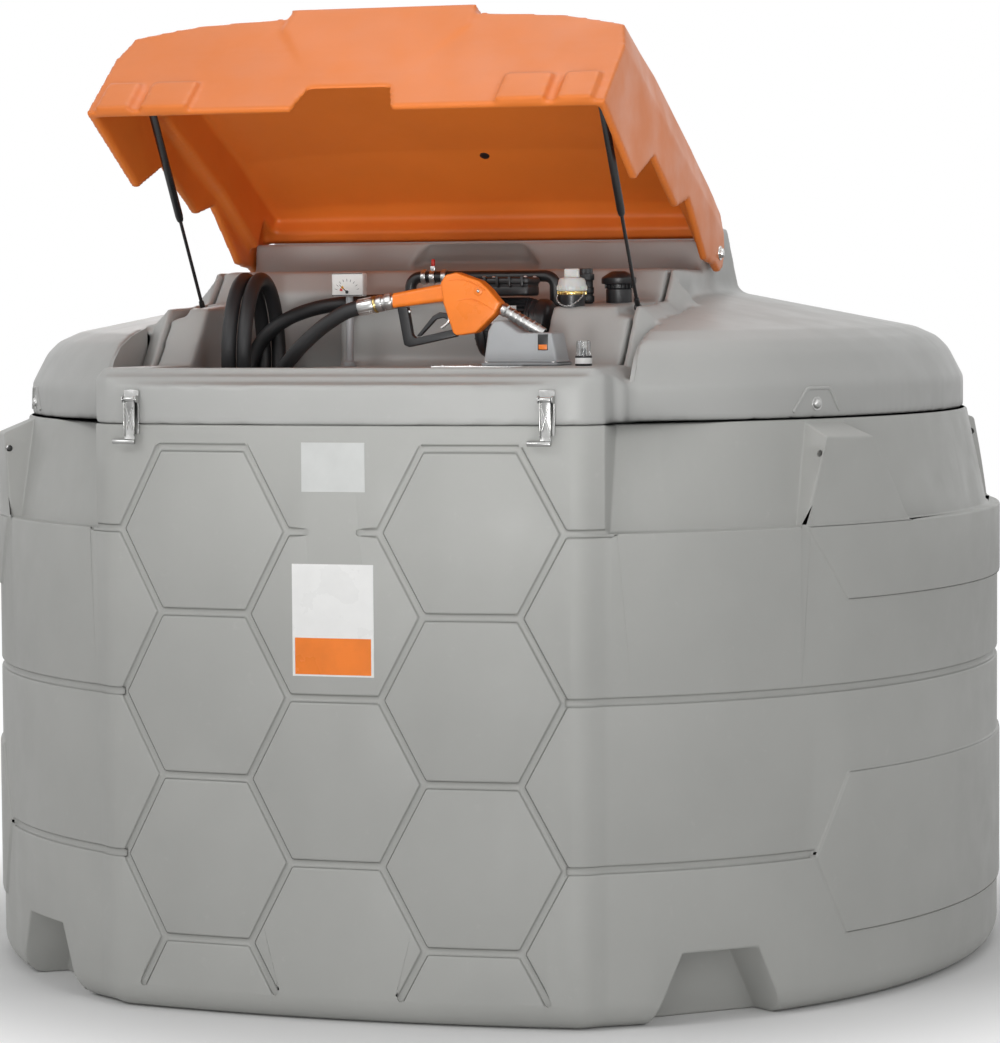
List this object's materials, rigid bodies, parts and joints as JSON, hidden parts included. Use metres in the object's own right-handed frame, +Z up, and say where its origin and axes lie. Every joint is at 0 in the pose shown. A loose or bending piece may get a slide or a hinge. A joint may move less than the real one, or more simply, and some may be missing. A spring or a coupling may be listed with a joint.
{
  "type": "bunded fuel tank",
  "caption": "Bunded plastic diesel tank with a hinged lid held open by gas struts over a bay with pump, hose coil and fuelling nozzle.",
  "frame": {"origin": "centre of the base on the floor", "axes": "+Z up, the front with the latches and the lid opening faces -Y, +X is to the right seen from the front"},
  "size_m": [2.3996, 2.406, 2.1921],
  "materials": {
    "tank_plastic": "satin moulded polyethylene",
    "lid_plastic": "satin moulded polyethylene",
    "black_plastic": "satin",
    "grey_plastic": "satin",
    "white_plastic": "gloss",
    "clear_plastic": "clear",
    "nozzle_cover": "soft gloss",
    "hose_rubber": "smooth",
    "strut_black": "gloss",
    "motor_paint": "satin",
    "steel": "plated",
    "stainless": "brushed",
    "brass": "satin"
  },
  "bodies": {
    "tank": {"filler_cap": "white_plastic", "filler_cup": "black_plastic", "filler_ring": "brass", "hinge_pins": "steel", "hose_clamp": "stainless", "hose_coil": "hose_rubber", "hose_swivel": "steel", "hose_to_nozzle": "hose_rubber", "hose_to_pump": "hose_rubber", "inner_tank": "tank_plastic", "inner_tank_top": "tank_plastic", "latch_plate_left": "stainless", "latch_plate_right": "stainless", "level_gauge": "white_plastic", "nozzle_body": "nozzle_cover", "nozzle_guard": "black_plastic", "nozzle_holder": "grey_plastic", "nozzle_spout": "steel", "nozzle_trigger": "black_plastic", "outer_tank": "tank_plastic", "pump_head": "motor_paint", "pump_motor": "motor_paint", "pump_pipe": "black_plastic", "pump_tray": "stainless", "sight_glass": "clear_plastic", "strut_foot_stud_left": "steel", "strut_foot_stud_right": "steel", "terminal_box": "black_plastic", "top_cover": "tank_plastic", "vent_cap": "black_plastic", "vent_tee": "black_plastic"},
    "lid": {"lid": "lid_plastic", "strut_head_pin_left": "steel", "strut_head_pin_right": "steel"},
    "strut_body_left": {"strut_body_left": "strut_black"},
    "strut_body_right": {"strut_body_right": "strut_black"},
    "strut_rod_left": {"strut_rod_left": "steel"},
    "strut_rod_right": {"strut_rod_right": "steel"},
    "latch_left": {"latch_lever_left": "stainless"},
    "latch_right": {"latch_lever_right": "stainless"}
  },
  "joints": [
    {"name": "lid_hinge", "type": "hinge", "parent": "tank", "child": "lid", "pos_m": [0, -0.15, 1.653], "axis": [1, 0, 0], "range_deg": [0, 31.7]},
    {"name": "strut_turn_left", "type": "hinge", "parent": "lid", "child": "strut_body_left", "pos_m": [-0.52, -0.93737, 1.99002], "axis": [1, 0, 0], "range_deg": [0, 25.6]},
    {"name": "strut_slide_left", "type": "slide", "parent": "strut_body_left", "child": "strut_rod_left", "axis": [0, 0.5451, -0.8384], "range_m": [-0.1912, 0]},
    {"name": "strut_turn_right", "type": "hinge", "parent": "lid", "child": "strut_body_right", "pos_m": [0.52, -0.93737, 1.99002], "axis": [1, 0, 0], "range_deg": [0, 25.6]},
    {"name": "strut_slide_right", "type": "slide", "parent": "strut_body_right", "child": "strut_rod_right", "axis": [0, 0.5451, -0.8384], "range_m": [-0.1912, 0]},
    {"name": "latch_left_hinge", "type": "hinge", "parent": "tank", "child": "latch_left", "pos_m": [-0.47, -1.18673, 1.338], "axis": [-1, 0, 0], "range_deg": [0, 120]},
    {"name": "latch_right_hinge", "type": "hinge", "parent": "tank", "child": "latch_right", "pos_m": [0.47, -1.18673, 1.338], "axis": [-1, 0, 0], "range_deg": [0, 120]}
  ],
  "couplings": [
    {"joint": "strut_turn_left", "follows": "lid_hinge", "ratio": 0.80724},
    {"joint": "strut_slide_left", "follows": "lid_hinge", "m_per_rad": -0.34535},
    {"joint": "strut_turn_right", "follows": "lid_hinge", "ratio": 0.80724},
    {"joint": "strut_slide_right", "follows": "lid_hinge", "m_per_rad": -0.34535}
  ]
}
